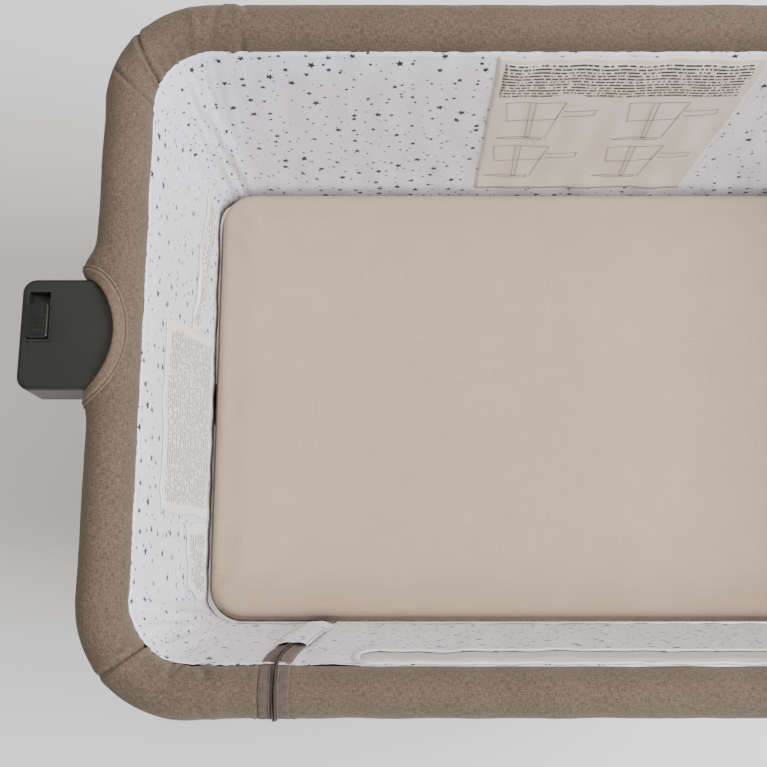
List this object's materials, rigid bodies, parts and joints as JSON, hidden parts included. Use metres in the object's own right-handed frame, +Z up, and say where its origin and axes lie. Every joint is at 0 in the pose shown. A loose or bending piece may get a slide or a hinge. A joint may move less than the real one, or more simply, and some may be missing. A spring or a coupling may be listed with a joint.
{
  "type": "bedside bassinet",
  "caption": "Bedside bassinet with padded rail, printed lining, fitted mattress and fold-down zipped side, on two height-adjustable legs with foot bars.",
  "frame": {"origin": "on the floor, midway along and midway across the feet", "axes": "+X along the bassinet, +Y towards the fixed side, -Y towards the fold-down side, +Z up"},
  "size_m": [1.064, 0.6975, 0.6838],
  "materials": {
    "sleeve_fabric": "woven melange, padded",
    "lining_fabric": "plain weave, printed with small stars",
    "mattress_cover": "quilted cover over foam",
    "sheet_fabric": "fine cotton",
    "base_board": "raw fibreboard",
    "rail_steel": "powder coated",
    "bright_steel": "zinc plated",
    "plug_plastic": "moulded",
    "zip_tape": "woven tape",
    "housing_plastic": "fine satin texture",
    "button_plastic": "smooth",
    "leg_upper_paint": "satin powder coat",
    "leg_lower_aluminium": "satin anodised",
    "foot_paint": "satin powder coat",
    "pad_rubber": "moulded"
  },
  "bodies": {
    "bassinet": {"base_board": "base_board", "bow_end_plugs": "plug_plastic", "cover_screws": "bright_steel", "far_base_tube": "rail_steel", "far_left_corner_wall": "lining_fabric", "far_rail": "rail_steel", "far_right_corner_wall": "lining_fabric", "far_sleeve": "sleeve_fabric", "far_wall": "lining_fabric", "fitted_sheet": "sheet_fabric", "fixed_zip_tapes": "zip_tape", "hinge_brackets": "rail_steel", "hinge_pins": "bright_steel", "left_base_tube": "rail_steel", "left_end_bow": "rail_steel", "left_end_sleeve": "sleeve_fabric", "left_housing_cover": "housing_plastic", "left_leg_collar": "housing_plastic", "left_leg_housing": "housing_plastic", "left_return_spring": "bright_steel", "left_upper_leg_tube": "leg_upper_paint", "left_wall": "lining_fabric", "mattress": "mattress_cover", "near_base_tube": "rail_steel", "near_left_corner_wall": "lining_fabric", "near_right_corner_wall": "lining_fabric", "rail_joiners": "rail_steel", "right_base_tube": "rail_steel", "right_end_bow": "rail_steel", "right_end_sleeve": "sleeve_fabric", "right_housing_cover": "housing_plastic", "right_leg_collar": "housing_plastic", "right_leg_housing": "housing_plastic", "right_return_spring": "bright_steel", "right_upper_leg_tube": "leg_upper_paint", "right_wall": "lining_fabric"},
    "drop_side": {"drop_panel": "lining_fabric", "drop_rail": "rail_steel", "drop_rail_plugs": "plug_plastic", "drop_sleeve": "sleeve_fabric", "drop_arms": "rail_steel", "drop_zip_tapes": "zip_tape"},
    "left_leg": {"left_lower_leg_tube": "leg_lower_aluminium", "left_glide_cap": "plug_plastic", "left_foot_bar": "foot_paint", "left_foot_caps": "housing_plastic", "left_foot_pads": "pad_rubber", "left_foot_socket": "housing_plastic"},
    "left_button": {"left_release_button": "button_plastic"},
    "left_strap": {"left_release_strap": "bright_steel"},
    "left_pin": {"left_latch_pin": "bright_steel"},
    "right_leg": {"right_lower_leg_tube": "leg_lower_aluminium", "right_glide_cap": "plug_plastic", "right_foot_bar": "foot_paint", "right_foot_caps": "housing_plastic", "right_foot_pads": "pad_rubber", "right_foot_socket": "housing_plastic"},
    "right_button": {"right_release_button": "button_plastic"},
    "right_strap": {"right_release_strap": "bright_steel"},
    "right_pin": {"right_latch_pin": "bright_steel"}
  },
  "joints": [
    {"name": "drop_side_fold", "type": "hinge", "parent": "bassinet", "child": "drop_side", "pos_m": [0, -0.261, 0.345], "axis": [1, 0, 0], "range_deg": [0, 175]},
    {"name": "left_leg_height", "type": "slide", "parent": "bassinet", "child": "left_leg", "axis": [0, 0, -1], "range_m": [0, 0.15]},
    {"name": "left_button_slide", "type": "slide", "parent": "bassinet", "child": "left_button", "axis": [0, 1, 0], "range_m": [0, 0.01], "stiffness_N_per_m": 250, "springref_m": -0.008},
    {"name": "left_strap_lift", "type": "slide", "parent": "bassinet", "child": "left_strap", "axis": [0, 0, 1], "range_m": [0, 0.006], "deforming": ["left_return_spring"]},
    {"name": "left_pin_pull", "type": "slide", "parent": "bassinet", "child": "left_pin", "axis": [-1, 0, 0], "range_m": [0, 0.006]},
    {"name": "right_leg_height", "type": "slide", "parent": "bassinet", "child": "right_leg", "axis": [0, 0, -1], "range_m": [0, 0.15]},
    {"name": "right_button_slide", "type": "slide", "parent": "bassinet", "child": "right_button", "axis": [0, 1, 0], "range_m": [0, 0.01], "stiffness_N_per_m": 250, "springref_m": -0.008},
    {"name": "right_strap_lift", "type": "slide", "parent": "bassinet", "child": "right_strap", "axis": [0, 0, 1], "range_m": [0, 0.006], "deforming": ["right_return_spring"]},
    {"name": "right_pin_pull", "type": "slide", "parent": "bassinet", "child": "right_pin", "axis": [1, 0, 0], "range_m": [0, 0.006]}
  ],
  "couplings": [
    {"joint": "left_strap_lift", "follows": "left_button_slide", "ratio": 0.6},
    {"joint": "left_pin_pull", "follows": "left_button_slide", "ratio": 0.6},
    {"joint": "right_strap_lift", "follows": "right_button_slide", "ratio": 0.6},
    {"joint": "right_pin_pull", "follows": "right_button_slide", "ratio": 0.6}
  ]
}
